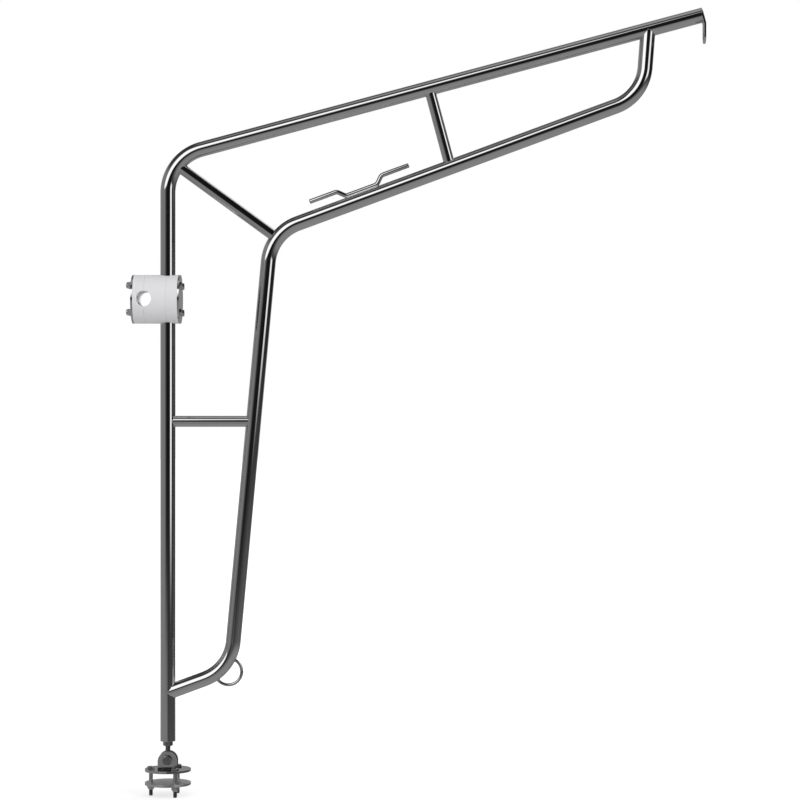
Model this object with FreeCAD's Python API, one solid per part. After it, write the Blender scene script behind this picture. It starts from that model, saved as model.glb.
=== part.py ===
import FreeCAD, Part
import math
import os
from collections import namedtuple

# Davit crane: a bent mast-and-boom tube, braced by a second bent tube, on a tilting deck foot.
# Lengths are in millimetres and angles in degrees. +Z runs up the mast, +X towards the boom's tip.
# The origin is on the deck's surface, on the mast's axis. The frame's tubes lie in the X-Z plane.

# Tubes of the frame
tube_od = 30.0
tube_wall = 2.0
strut_od = 22.0
strut_wall = 1.5
bend_radius = 90.0  # of each tube's centreline
cope_trim = 3.0  # thin tips taken off a saddle-cut end, measured from the axis that it meets

# Mast and boom
mast_foot_height = 60.0
corner_height = 1225.2  # where the axes of the mast and the boom meet
boom_rise = 15.0
boom_length = 1104.0  # from that corner to the end of the tube

# Brace tube
brace_foot_height = 157.0  # where its axis meets the mast's
brace_rise = 20.24  # of its stub and of its arm
lower_corner_reach = 125.6  # from the mast's axis
leg_lean = 5.27  # from the vertical
inner_corner_height = 1075.0
arm_reach = 949.9  # from the mast's axis to the corner under the boom
end_leg_lean = 4.4  # from the vertical

# Struts
mast_strut_height = 699.0
boom_strut_place = 541.0  # along the boom from its corner

# Tip eye plate
tip_plate = 4.0
tip_lap = 18.0  # from the boom's axis down to the fold
tip_hole_drop = 25.0  # from the fold down to the hole
tip_fold_radius = 6.0
tip_hole = 14.0

# Rope eye and rope cleat
rope_eye_rod = 6.5
rope_eye_radius = 26.5
rope_eye_standoff = 0.8  # from the tube's surface out to the ring's centre
rope_eye_turn = 3.5  # round the lower bend from its middle, towards the stub
cleat_rod = 9.5
cleat_length = 212.0
cleat_base = 66.0  # the stretch that lies on the arm
cleat_step = 14.2  # rise of the horns over that stretch
cleat_bend = 12.0
cleat_end_share = 0.45  # rounding of the horns' ends, of the rod
cleat_seat = 1.5  # depth of the hollow that seats it on the arm
cleat_place = 200.0  # along the arm from the inner corner

# Cross clamp
clamp_od = 97.5
clamp_height = 943.0
clamp_end = 22.0  # from each bore's axis to the plastic's end
rail_offset = 44.5  # from the mast's axis to the rail's
rail_bore = 31.0
clamp_nip = 0.2  # open gap between the plastic pieces
clamp_disc = 4.0
clamp_bolt_spread = 53.5  # side of the square that the bolts stand on
clamp_bolt_tail = 0.6  # past the nut
clamp_bolt_thread = 22.0
clamp_hex_spin = 30.0  # about each bolt, which sets the hexagons' flats level

# Deck foot
foot_plate_od = 92.0
foot_plate = 5.0
deck_gap = 22.0  # thickness of the deck between the two plates
deck_bolt_count = 3
deck_bolt_edge = 12.0  # from each bolt's axis to the plate's rim
deck_bolt_length = 54.0
deck_bolt_thread = 22.0
ear_width = 38.5
ear_top = 40.0  # height over the deck
ear_thickness = 6.0
fork_gap = 18.0
pivot_height = 24.0
pivot_bolt_length = 45.0
pivot_bolt_thread = 15.0

# Eyebolt and the mast's foot bearing
eye_od = 25.0
eyebolt_neck = 9.5
spacer = 2.0  # thickness of the washers beside the eye
collar_nut_height = 8.4
thrust_washer = 1.0
foot_plug_height = 25.0
foot_bush_od = 16.0
eyebolt_tail = 1.5  # past the retaining nut

# Fasteners
m8_thread = 8.0
m8_shank = 7.9  # plain shank of the long bolts
m8_across_flats = 13.0
m8_head = 4.4
m8_nut = 8.0
m8_washer_od = 16.0
m8_washer = 1.6
m10_thread = 10.0
m10_across_flats = 17.0
m10_head = 6.4
m10_nut = 10.0
m10_washer_od = 20.0
m10_washer = 2.0
nut_hex_share = 0.7  # of a lock nut's height, below its collar
collar_share = 0.9  # of the distance across flats
chamfer_share = 0.95  # top circle of a hexagon, of the distance across flats
tip_chamfer_share = 0.1  # bevel at a bolt's end, of its thread

# Clearances
bolt_clearance = 0.5  # radial, around each bolt in a drilled hole
washer_clearance = 0.25  # radial, around each bolt in a washer
running_clearance = 0.08  # radial, where one piece turns or slides on another
side_clearance = 0.1  # between flat faces that turn past each other
rim_round = 0.3

UP = FreeCAD.Vector(0, 0, 1)
DOWN = FreeCAD.Vector(0, 0, -1)
BOOM_SIDE = FreeCAD.Vector(1, 0, 0)
RAIL_SIDE = FreeCAD.Vector(-1, 0, 0)
REAR = FreeCAD.Vector(0, 1, 0)
FRONT = FreeCAD.Vector(0, -1, 0)

Fastener = namedtuple("Fastener", "thread across_flats head nut washer_od washer")
M8 = Fastener(m8_thread, m8_across_flats, m8_head, m8_nut, m8_washer_od, m8_washer)
M10 = Fastener(m10_thread, m10_across_flats, m10_head, m10_nut, m10_washer_od, m10_washer)


def point(x, z):
    """Point in the frame's plane."""
    return FreeCAD.Vector(x, 0, z)


def ray(angle):
    """Unit vector in the frame's plane, at an angle above +X."""
    return point(math.cos(math.radians(angle)), math.sin(math.radians(angle)))


def meet(start, direction, other_start, other_direction):
    """Point where two lines of the frame's plane cross."""
    gap = other_start - start
    across = direction.x * other_direction.z - direction.z * other_direction.x
    run = (gap.x * other_direction.z - gap.z * other_direction.x) / across
    return start + direction * run


def bend(before, corner, after, radius):
    """Start, middle and end of the tangent arc that rounds a corner."""
    back = (before - corner).normalize()
    ahead = (after - corner).normalize()
    half_turn = (math.pi - back.getAngle(ahead)) / 2
    run = radius * math.tan(half_turn)
    depth = radius / math.cos(half_turn) - radius
    return corner + back * run, corner + (back + ahead).normalize() * depth, corner + ahead * run


def route(points, radius):
    """Path of straight runs through the points, each corner rounded by an arc."""
    edges = []
    start = points[0]
    for before, corner, after in zip(points, points[1:], points[2:]):
        arc = bend(before, corner, after, radius)
        edges.append(Part.LineSegment(start, arc[0]).toShape())
        edges.append(Part.Arc(*arc).toShape())
        start = arc[2]
    edges.append(Part.LineSegment(start, points[-1]).toShape())
    return Part.Wire(edges)


def round_bar(path, diameter):
    """Solid round bar along a path."""
    first = path.OrderedEdges[0]
    start = path.OrderedVertexes[0].Point
    ring = Part.makeCircle(diameter / 2, start, first.tangentAt(first.FirstParameter))
    return path.makePipeShell([Part.Wire(ring)], True, False)


def tube(path, diameter, wall):
    """Round tube along a path."""
    return round_bar(path, diameter).cut(round_bar(path, diameter - 2 * wall))


def saddle_cut(member, *tubes_met):
    """Member with its ends cut to sit on the round tubes that it meets."""
    for outer in tubes_met:
        member = member.cut(outer)
    return member


def drilled(shape, diameter, spots, axis, depth):
    """Shape with a round hole from each spot along an axis."""
    for spot in spots:
        shape = shape.cut(Part.makeCylinder(diameter / 2, depth, spot, axis))
    return shape


def placed(shape, spots, axis, spin=0):
    """Copies of a shape that stands on the origin along +Z, spun about it, turned to an axis and moved."""
    turn = FreeCAD.Rotation(UP, axis) * FreeCAD.Rotation(UP, spin)
    copies = []
    for spot in spots:
        copy = shape.copy()
        copy.Placement = FreeCAD.Placement(spot, turn)
        copies.append(copy)
    return copies[0] if len(copies) == 1 else Part.makeCompound(copies)


def rounded_disc(diameter, thickness, spot, axis):
    """Disc with rounded rims."""
    disc = Part.makeCylinder(diameter / 2, thickness, spot, axis)
    rims = [edge for edge in disc.Edges if edge.isClosed()]
    return disc.makeFillet(min(rim_round, thickness / 3), rims)


def hex_block(across_flats, height):
    """Hexagonal block with its corners along X and its top corners bevelled."""
    corner = across_flats / math.sqrt(3)
    points = [FreeCAD.Rotation(UP, 60 * side).multVec(BOOM_SIDE * corner) for side in range(6)]
    block = Part.Face(Part.makePolygon(points + points[:1])).extrude(UP * height)
    top = across_flats * chamfer_share / 2
    return block.common(Part.makeCone(top + height * math.sqrt(3), top, height))


def hex_bolt(size, shank, length, thread_length):
    """Hexagon bolt whose head stands on the origin and whose shank and thread hang below it."""
    bevel = size.thread * tip_chamfer_share
    plain = Part.makeCylinder(shank / 2, length - thread_length, point(0, 0), DOWN)
    radius = size.thread / 2
    thread = Part.makeCylinder(radius, thread_length - bevel, point(0, thread_length - length), DOWN)
    tip = Part.makeCone(radius, radius - bevel, bevel, point(0, bevel - length), DOWN)
    return hex_block(size.across_flats, size.head).fuse([plain, thread, tip]).removeSplitter()


def lock_nut(size):
    """Lock nut that stands on the origin: a hexagon with a round collar on top."""
    hex_height = size.nut * nut_hex_share
    collar_radius = size.across_flats * collar_share / 2
    collar = Part.makeCylinder(collar_radius, size.nut - hex_height, point(0, hex_height))
    top_rim = max(collar.Edges, key=lambda edge: edge.CenterOfMass.z)
    collar = collar.makeFillet((size.nut - hex_height) / 2, [top_rim])
    body = hex_block(size.across_flats, hex_height).fuse(collar).removeSplitter()
    return drilled(body, size.thread, [point(0, 0)], UP, size.nut)


def washer(bore, diameter, thickness):
    """Flat washer that stands on the origin."""
    return drilled(Part.makeCylinder(diameter / 2, thickness), bore, [point(0, 0)], UP, thickness)


def bolt_washer(size):
    """Washer for a bolt of a given size."""
    return washer(size.thread + 2 * washer_clearance, size.washer_od, size.washer)


# Routes of the tubes
boom_ray = ray(boom_rise)
boom_down = ray(boom_rise - 90)
arm_ray = ray(brace_rise)
arm_up = ray(brace_rise + 90)
leg_ray = ray(90 - leg_lean)
end_leg_ray = ray(90 - end_leg_lean)

mast_foot = point(0, mast_foot_height)
boom_corner = point(0, corner_height)
boom_end = boom_corner + boom_ray * boom_length
main_points = [mast_foot, boom_corner, boom_end]

brace_foot = point(0, brace_foot_height)
lower_corner = meet(brace_foot, arm_ray, point(lower_corner_reach, 0), UP)
inner_corner = meet(lower_corner, leg_ray, point(0, inner_corner_height), BOOM_SIDE)
right_corner = meet(inner_corner, arm_ray, point(arm_reach, 0), UP)
brace_top = meet(right_corner, end_leg_ray, boom_corner, boom_ray)
brace_points = [
    brace_foot + arm_ray * cope_trim,
    lower_corner,
    inner_corner,
    right_corner,
    brace_top - end_leg_ray * cope_trim,
]

main_path = route(main_points, bend_radius)
brace_path = route(brace_points, bend_radius)
main_outer = round_bar(main_path, tube_od)
brace_outer = round_bar(brace_path, tube_od)
main_bend = bend(*main_points, bend_radius)
lower_bend = bend(*brace_points[0:3], bend_radius)
inner_bend = bend(*brace_points[1:4], bend_radius)


def strut(start, end):
    """Straight strut between two points on the axes of the main tube and the brace tube."""
    return saddle_cut(tube(route([start, end], bend_radius), strut_od, strut_wall), main_outer, brace_outer)


def tip_eye_plate():
    """Folded plate that caps the boom's end and carries the tackle hole below it."""
    middle = boom_end + boom_ray * (tip_plate / 2)
    fold = middle + boom_down * tip_lap
    hole_spot = fold + DOWN * tip_hole_drop
    corners = [
        middle + boom_ray * (along * tip_plate / 2) + REAR * (across * tube_od / 2)
        for along, across in ((-1, -1), (1, -1), (1, 1), (-1, 1), (-1, -1))
    ]
    strip = route([middle, fold, hole_spot], tip_fold_radius)
    plate = strip.makePipeShell([Part.makePolygon(corners)], True, False)
    face_spot = hole_spot + RAIL_SIDE * (tip_plate / 2)
    cap = Part.makeCylinder(tube_od / 2, tip_plate, boom_end, boom_ray)
    lower_end = Part.makeCylinder(tube_od / 2, tip_plate, face_spot, BOOM_SIDE)
    plate = plate.fuse([cap, lower_end]).removeSplitter()
    return drilled(plate, tip_hole, [face_spot], BOOM_SIDE, tip_plate)


def rope_eye():
    """Ring of round bar in the frame's plane, cut where it meets the lower bend."""
    outwards = (lower_corner - lower_bend[1]).normalize()
    bend_centre = lower_bend[1] - outwards * bend_radius
    across = FreeCAD.Rotation(REAR, rope_eye_turn).multVec(outwards)
    centre = bend_centre + across * (bend_radius + tube_od / 2 + rope_eye_standoff)
    ring = Part.makeTorus(rope_eye_radius, rope_eye_rod / 2, centre, REAR)
    return ring.cut(brace_outer)


def rope_cleat():
    """Bent rod with two horns, seated along the top of the brace's arm."""
    seat = inner_corner + arm_ray * cleat_place + arm_up * (tube_od / 2 + cleat_rod / 2 - cleat_seat)
    base_end = cleat_base / 2
    horn_end = cleat_length / 2
    outline = [
        (-horn_end, cleat_step),
        (-base_end - cleat_step, cleat_step),
        (-base_end, 0),
        (base_end, 0),
        (base_end + cleat_step, cleat_step),
        (horn_end, cleat_step),
    ]
    points = [seat + arm_ray * along + arm_up * height for along, height in outline]
    rod = round_bar(route(points, cleat_bend), cleat_rod)
    rims = [
        min(rod.Edges, key=lambda edge: edge.CenterOfMass.distanceToPoint(spot))
        for spot in (points[0], points[-1])
    ]
    return rod.makeFillet(cleat_rod * cleat_end_share, rims).cut(brace_outer)


def foot_plug():
    """Plug in the mast's lower end, bored for the bush."""
    plug = Part.makeCylinder(tube_od / 2 - tube_wall, foot_plug_height, mast_foot)
    return drilled(plug, foot_bush_od, [mast_foot], UP, foot_plug_height)


def foot_bush():
    """Plastic bush that turns on the eyebolt's shank."""
    bush = Part.makeCylinder(foot_bush_od / 2, foot_plug_height, mast_foot)
    return drilled(bush, m10_thread + 2 * running_clearance, [mast_foot], UP, foot_plug_height)


def frame_parts():
    """Tubes, struts and fittings that swivel together."""
    boom_strut_top = boom_corner + boom_ray * boom_strut_place
    mast_strut_start = point(0, mast_strut_height)
    return {
        "main_tube": tube(main_path, tube_od, tube_wall),
        "brace_tube": saddle_cut(tube(brace_path, tube_od, tube_wall), main_outer),
        "knee_strut": strut(main_bend[1], inner_bend[1]),
        "boom_strut": strut(boom_strut_top, meet(boom_strut_top, boom_down, inner_corner, arm_ray)),
        "mast_strut": strut(mast_strut_start, meet(mast_strut_start, BOOM_SIDE, lower_corner, leg_ray)),
        "tip_eye_plate": tip_eye_plate(),
        "rope_eye": rope_eye(),
        "rope_cleat": rope_cleat(),
        "foot_plug": foot_plug(),
        "foot_bush": foot_bush(),
    }


def clamp_point(x, y=0, z=0):
    """Point measured from the middle of the clamp's mast bore."""
    return FreeCAD.Vector(x, y, clamp_height + z)


def clamp_bolt_spots(x):
    """Places of the clamp's bolts in the plane at x."""
    half = clamp_bolt_spread / 2
    return [clamp_point(x, side * half, level * half) for side in (-1, 1) for level in (-1, 1)]


def clamp_piece(low, high):
    """Plastic piece of the clamp between two planes, with its share of each bore."""
    piece = Part.makeCylinder(clamp_od / 2, high - low, clamp_point(low), BOOM_SIDE)
    mast_bore = tube_od + 2 * running_clearance
    piece = drilled(piece, mast_bore, [clamp_point(0, z=-clamp_od / 2)], UP, clamp_od)
    piece = drilled(piece, rail_bore, [clamp_point(-rail_offset, -clamp_od / 2)], REAR, clamp_od)
    bolt_hole = m8_thread + 2 * bolt_clearance
    return drilled(piece, bolt_hole, clamp_bolt_spots(low), BOOM_SIDE, high - low)


def clamp_end_disc(x):
    """Stainless disc on an end of the clamp, from x towards the boom's side."""
    disc = rounded_disc(clamp_od, clamp_disc, clamp_point(x), BOOM_SIDE)
    return drilled(disc, m8_thread + 2 * bolt_clearance, clamp_bolt_spots(x), BOOM_SIDE, clamp_disc)


def clamp_parts():
    """Cross clamp that slides on the mast and takes the rail."""
    rail_end = -rail_offset - clamp_end
    half_nip = clamp_nip / 2
    head_seat = clamp_end + clamp_disc
    washer_seat = rail_end - clamp_disc
    nut_seat = washer_seat - m8_washer
    bolt_length = head_seat - nut_seat + m8_nut + clamp_bolt_tail
    bolt = hex_bolt(M8, m8_shank, bolt_length, clamp_bolt_thread)
    return {
        "clamp_rail_cap": clamp_piece(rail_end, -rail_offset - half_nip),
        "clamp_middle_block": clamp_piece(half_nip - rail_offset, -half_nip),
        "clamp_mast_cap": clamp_piece(half_nip, clamp_end),
        "clamp_rail_disc": clamp_end_disc(washer_seat),
        "clamp_mast_disc": clamp_end_disc(clamp_end),
        "clamp_bolts": placed(bolt, clamp_bolt_spots(head_seat), BOOM_SIDE, clamp_hex_spin),
        "clamp_washers": placed(bolt_washer(M8), clamp_bolt_spots(washer_seat), RAIL_SIDE),
        "clamp_nuts": placed(lock_nut(M8), clamp_bolt_spots(nut_seat), RAIL_SIDE, clamp_hex_spin),
    }


def deck_bolt_spots(height):
    """Places of the deck bolts in the plane at a height, the first on the rail's side."""
    radius = foot_plate_od / 2 - deck_bolt_edge
    turns = [FreeCAD.Rotation(UP, 360 * bolt / deck_bolt_count) for bolt in range(deck_bolt_count)]
    return [turn.multVec(RAIL_SIDE * radius) + point(0, height) for turn in turns]


def round_plate(height):
    """Round plate of the deck foot, standing on a height."""
    plate = rounded_disc(foot_plate_od, foot_plate, point(0, height), UP)
    return drilled(plate, m8_thread + 2 * bolt_clearance, deck_bolt_spots(height), UP, foot_plate)


def fork_ear(y):
    """Round-topped ear of the fork, from y towards the rear."""
    corner = FreeCAD.Vector(-ear_width / 2, y, foot_plate)
    arch = FreeCAD.Vector(0, y, ear_top - ear_width / 2)
    pivot = FreeCAD.Vector(0, y, pivot_height)
    block = Part.makeBox(ear_width, ear_thickness, ear_top - foot_plate, corner)
    lower = Part.makeBox(ear_width, ear_thickness, arch.z - foot_plate, corner)
    top = Part.makeCylinder(ear_width / 2, ear_thickness, arch, REAR).common(block)
    ear = lower.fuse(top).removeSplitter()
    return drilled(ear, m10_thread + 2 * bolt_clearance, [pivot], REAR, ear_thickness)


def foot_parts():
    """Plates, fork and fasteners that stay fixed to the deck."""
    under = -deck_gap - foot_plate
    ear_face = fork_gap / 2 + ear_thickness
    pivot_seat = ear_face + m10_washer
    axis_spot = point(0, pivot_height)
    outer_washers = [
        placed(bolt_washer(M10), [axis_spot + FRONT * ear_face], FRONT),
        placed(bolt_washer(M10), [axis_spot + REAR * ear_face], REAR),
    ]
    inner = washer(m10_thread + 2 * washer_clearance, m10_washer_od, spacer)
    spacers = [
        placed(inner, [axis_spot + FRONT * (fork_gap / 2)], REAR),
        placed(inner, [axis_spot + REAR * (fork_gap / 2)], FRONT),
    ]
    pivot_bolt = hex_bolt(M10, m10_thread, pivot_bolt_length, pivot_bolt_thread)
    deck_bolt = hex_bolt(M8, m8_shank, deck_bolt_length, deck_bolt_thread)
    return {
        "deck_plate": round_plate(0),
        "backing_plate": round_plate(under),
        "front_ear": fork_ear(-ear_face),
        "rear_ear": fork_ear(fork_gap / 2),
        "pivot_bolt": placed(pivot_bolt, [axis_spot + FRONT * pivot_seat], FRONT),
        "pivot_washers": Part.makeCompound(outer_washers),
        "pivot_spacers": Part.makeCompound(spacers),
        "pivot_nut": placed(lock_nut(M10), [axis_spot + REAR * pivot_seat], REAR),
        "deck_bolts": placed(deck_bolt, deck_bolt_spots(foot_plate), UP),
        "deck_washers": placed(bolt_washer(M8), deck_bolt_spots(under), DOWN),
        "deck_nuts": placed(lock_nut(M8), deck_bolt_spots(under - m8_washer), DOWN),
    }


def eyebolt(thread_start, top):
    """Eyebolt that hangs on the pivot bolt and reaches up through the mast's foot."""
    thickness = fork_gap - 2 * spacer - 2 * side_clearance
    face_spot = point(0, pivot_height) + FRONT * (thickness / 2)
    eye = Part.makeCylinder(eye_od / 2, thickness, face_spot, REAR)
    neck = Part.makeCylinder(eyebolt_neck / 2, thread_start - pivot_height, point(0, pivot_height))
    shank = Part.makeCylinder(m10_thread / 2, top - thread_start, point(0, thread_start))
    body = eye.fuse([neck, shank]).removeSplitter()
    return drilled(body, m10_thread + 2 * running_clearance, [face_spot], REAR, thickness)


def eyebolt_parts():
    """Eyebolt, the nut and washer that carry the mast, and those that keep it down."""
    thrust_seat = mast_foot_height - side_clearance - thrust_washer
    collar_spot = point(0, thrust_seat - collar_nut_height)
    block = hex_block(m10_across_flats, collar_nut_height)
    collar = drilled(block, m10_thread, [point(0, 0)], UP, collar_nut_height)
    retaining_seat = mast_foot_height + foot_plug_height + side_clearance
    nut_seat = retaining_seat + m10_washer
    thrust = washer(m10_thread + 2 * washer_clearance, m10_washer_od, thrust_washer)
    return {
        "eyebolt": eyebolt(collar_spot.z, nut_seat + m10_nut + eyebolt_tail),
        "collar_nut": placed(collar, [collar_spot], UP),
        "thrust_washer": placed(thrust, [point(0, thrust_seat)], UP),
        "retaining_washer": placed(bolt_washer(M10), [point(0, retaining_seat)], UP),
        "retaining_nut": placed(lock_nut(M10), [point(0, nut_seat)], UP),
    }


os.makedirs("parts", exist_ok=True)
for group in (foot_parts(), eyebolt_parts(), frame_parts(), clamp_parts()):
    for node, shape in group.items():
        shape.exportStep(f"parts/{node}.step")
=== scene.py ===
import logging
from dataclasses import asdict, dataclass
from enum import Enum
from math import acos, cos, pi, radians, sin, sqrt, tan
from typing import Any, Callable, Sequence

import bmesh
import bpy
from bpy.types import ID, Material, Mesh, Node, NodeSocket, NodeTree, Object, World
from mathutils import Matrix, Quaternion, Vector


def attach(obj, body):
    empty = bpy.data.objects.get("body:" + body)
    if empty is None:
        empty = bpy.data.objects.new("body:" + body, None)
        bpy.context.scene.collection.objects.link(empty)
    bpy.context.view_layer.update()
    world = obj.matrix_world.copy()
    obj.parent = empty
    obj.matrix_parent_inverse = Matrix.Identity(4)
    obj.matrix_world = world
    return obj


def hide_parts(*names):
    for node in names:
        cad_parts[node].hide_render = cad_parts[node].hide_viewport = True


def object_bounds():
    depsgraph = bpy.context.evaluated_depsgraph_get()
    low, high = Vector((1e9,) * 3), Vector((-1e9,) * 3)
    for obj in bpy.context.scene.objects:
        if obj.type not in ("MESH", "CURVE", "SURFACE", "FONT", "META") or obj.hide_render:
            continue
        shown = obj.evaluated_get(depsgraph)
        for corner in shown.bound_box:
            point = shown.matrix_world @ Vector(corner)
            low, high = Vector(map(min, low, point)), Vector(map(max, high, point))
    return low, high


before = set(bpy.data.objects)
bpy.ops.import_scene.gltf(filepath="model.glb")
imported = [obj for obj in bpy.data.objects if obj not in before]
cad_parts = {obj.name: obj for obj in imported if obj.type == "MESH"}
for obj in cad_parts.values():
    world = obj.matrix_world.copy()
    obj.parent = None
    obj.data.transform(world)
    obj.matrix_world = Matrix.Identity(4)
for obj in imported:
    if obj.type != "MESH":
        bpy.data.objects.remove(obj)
CAD_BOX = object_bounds()
LOG = logging.getLogger("davit")

UP = Vector((0, 0, 1))
REAR = Vector((0, 1, 0))
BOOM_SIDE = Vector((1, 0, 0))
SQUARE = ((-1, -1), (1, -1), (1, 1), (-1, 1))
SMOOTH_ANGLE = radians(32)
BEVEL_ANGLE = radians(25)
FLAT_ANGLE = radians(0.4)
MERGE_GAP = 2e-6
EASE_SEGMENTS = 3
LARGE_FACE_WEIGHT = 100
BEAD_SIDES = 12
BEAD_CORNER_STEPS = 4
STEPS_PER_RIPPLE = 6
RIPPLE_SHARE = 0.03

Triple = tuple[float, float, float]
Stops = tuple[tuple[float, float], ...]


class Body(Enum):
    """Bodies that the pieces move with."""

    BASE = "base"
    EYEBOLT = "tilting_eyebolt"
    FRAME = "frame"
    CLAMP = "clamp"


class Slot(Enum):
    """Material slots of the record."""

    TUBE = "polished_tube"
    FITTING = "polished_fitting"
    PLASTIC = "white_plastic"
    BEARING = "bearing_plastic"
    TURNED = "plain_steel"
    FASTENER = "fastener_steel"


class Grain(Enum):
    """How fast a finish's tool marks change along X, Y and Z, or None for rings round a swept tube."""

    TUBE_RINGS = None
    X_RINGS = (1, 0, 0)
    Z_RINGS = (0, 0, 1)
    BRUSHED = (0.04, 1, 1)
    SCATTERED = (1, 1, 1)


def grey(level: float) -> tuple[float, float, float, float]:
    """Returns a grey colour."""
    return (level, level, level, 1)


class Graph:
    """Adds nodes to one node tree and joins them."""

    def __init__(self, tree: NodeTree) -> None:
        """Starts on an emptied tree."""
        self.tree = tree
        tree.nodes.clear()

    def add(self, kind: str, inputs: dict[Any, Any] | None = None, **settings: Any) -> Node:
        """Adds a node.

        Args:
            kind: the node's type name.
            inputs: a socket to link or a value to set, by the input's name or index.
            settings: the node's own properties.

        Returns:
            The new node.
        """
        node = self.tree.nodes.new(kind)
        for name, value in settings.items():
            setattr(node, name, value)
        for key, value in (inputs or {}).items():
            if isinstance(value, NodeSocket):
                self.tree.links.new(value, node.inputs[key])
            else:
                node.inputs[key].default_value = value
        return node

    def out(self, kind: str, inputs: dict[Any, Any] | None = None, **settings: Any) -> NodeSocket:
        """Adds a node and returns its first output."""
        return self.add(kind, inputs, **settings).outputs[0]

    def math(self, operation: str, *values: Any) -> NodeSocket:
        """Adds a Math node on up to three sockets or numbers and returns its output."""
        return self.out("ShaderNodeMath", dict(enumerate(values)), operation=operation)

    def scaled(self, vector: NodeSocket, factor: Any) -> NodeSocket:
        """Adds a node that scales a vector and returns its output."""
        return self.out("ShaderNodeVectorMath", {0: vector, "Scale": factor}, operation="SCALE")

    def place(self) -> NodeSocket:
        """Adds a Texture Coordinate node and returns its Object output."""
        return self.add("ShaderNodeTexCoord").outputs["Object"]

    def mix(self, share: NodeSocket, first: Any, second: Any) -> NodeSocket:
        """Adds a mix of two colours by a share from 0 to 1 and returns its output."""
        inputs = {"Factor": share, "A": first, "B": second}
        return self.add("ShaderNodeMix", inputs, data_type="RGBA").outputs["Result"]

    def fade(
        self,
        value: NodeSocket,
        low: Any,
        high: Any,
        levels: tuple[float, float] = (0.0, 1.0),
        shape: str = "SMOOTHSTEP",
    ) -> NodeSocket:
        """Adds a fade from one level to another.

        Args:
            value: the socket that the fade follows.
            low: value at which it starts.
            high: value at which it ends.
            levels: level at its start and at its end.
            shape: how it runs between them, as the Map Range node names it.

        Returns:
            The level's socket.
        """
        inputs = {"Value": value, "From Min": low, "From Max": high, "To Min": levels[0], "To Max": levels[1]}
        return self.out("ShaderNodeMapRange", inputs, interpolation_type=shape)

    def ramp(self, degrees: NodeSocket, span: float, stops: Stops) -> NodeSocket:
        """Adds a grey ramp over an angle.

        Args:
            degrees: socket of the angle, which is zero at the ramp's middle.
            span: degrees from one end of the ramp to the other.
            stops: angle and level of each stop, in order.

        Returns:
            The ramp's colour socket.
        """
        share = self.math("MULTIPLY_ADD", degrees, 1 / span, 0.5)
        node = self.add("ShaderNodeValToRGB", {"Fac": share})
        elements = node.color_ramp.elements
        while len(elements) < len(stops):
            elements.new(1.0)
        for element, (angle, level) in zip(elements, stops):
            element.position = angle / span + 0.5
            element.color = grey(level)
        return node.outputs["Color"]


def shading(owner: Material | World) -> Graph:
    """Turns on the nodes of a material or world and returns their emptied graph."""
    owner.use_nodes = True
    return Graph(owner.node_tree)


def new_group(kind: str, name: str, inputs: dict[str, str], outputs: dict[str, str]) -> tuple[Graph, Any]:
    """Starts a node group with named sockets.

    Args:
        kind: what the tree is for, Shader or Geometry.
        name: the group's name.
        inputs: socket type of each input, by its name.
        outputs: socket type of each output, by its name.

    Returns:
        The group's graph and the sockets of its inputs.
    """
    tree = bpy.data.node_groups.new(name, f"{kind}NodeTree")
    for side, sockets in (("INPUT", inputs), ("OUTPUT", outputs)):
        for label, socket in sockets.items():
            tree.interface.new_socket(name=label, in_out=side, socket_type=f"NodeSocket{socket}")
    graph = Graph(tree)
    return graph, graph.add("NodeGroupInput").outputs


def noise_group(
    name: str, output: str, noise: dict[str, float], low: float, high: float, shape: str
) -> NodeTree:
    """Builds a shader group that draws patches of noise.

    Args:
        name: the group's name.
        output: name of its output.
        noise: values of the Noise Texture node.
        low: noise level that becomes 0.
        high: noise level that becomes 1.
        shape: how it fades between them.

    Returns:
        The group.
    """
    graph, start = new_group("Shader", name, {"Vector": "Vector", "Scale": "Float"}, {output: "Float"})
    level = graph.out("ShaderNodeTexNoise", {"Vector": start["Vector"], "Scale": start["Scale"], **noise})
    graph.add("NodeGroupOutput", {output: graph.fade(level, low, high, shape=shape)})
    return graph.tree


def window_group() -> NodeTree:
    """Builds the group that masks one soft-edged studio light, in degrees of azimuth and elevation.

    Returns:
        The group.
    """
    sizes = ("Centre", "Half width", "Low", "High", "Side edge", "Level edge", "Slant")
    names = ("Azimuth", "Elevation", *sizes)
    graph, start = new_group("Shader", "Studio window", dict.fromkeys(names, "Float"), {"Mask": "Float"})
    azimuth, elevation, centre, half, low, high, side, level, slant = [start[name] for name in names]
    leaned = graph.math("MULTIPLY_ADD", graph.math("SUBTRACT", elevation, low), slant, centre)
    aside = graph.math("WRAP", graph.math("SUBTRACT", azimuth, leaned), 180.0, -180.0)
    distances = (
        (graph.math("SUBTRACT", half, graph.math("ABSOLUTE", aside)), side),
        (graph.math("SUBTRACT", elevation, low), level),
        (graph.math("SUBTRACT", high, elevation), level),
    )
    mask: Any = 1.0
    for distance, edge in distances:
        fade = graph.fade(distance, graph.math("MULTIPLY", edge, -1.0), edge)
        mask = graph.math("MULTIPLY", fade, mask)
    graph.add("NodeGroupOutput", {"Mask": mask})
    return graph.tree


GRIT = {"Detail": 4.0, "Roughness": 0.65}
CLOUDS = {"Detail": 6.0, "Roughness": 0.55, "Distortion": 0.8}
TOOL_MARKS = noise_group("Tool marks", "Marks", GRIT, low=0.3, high=0.7, shape="LINEAR")
SMUDGES = noise_group("Handling smudges", "Smudge", CLOUDS, low=0.4, high=0.68, shape="SMOOTHSTEP")
STUDIO_WINDOW = window_group()


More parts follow.
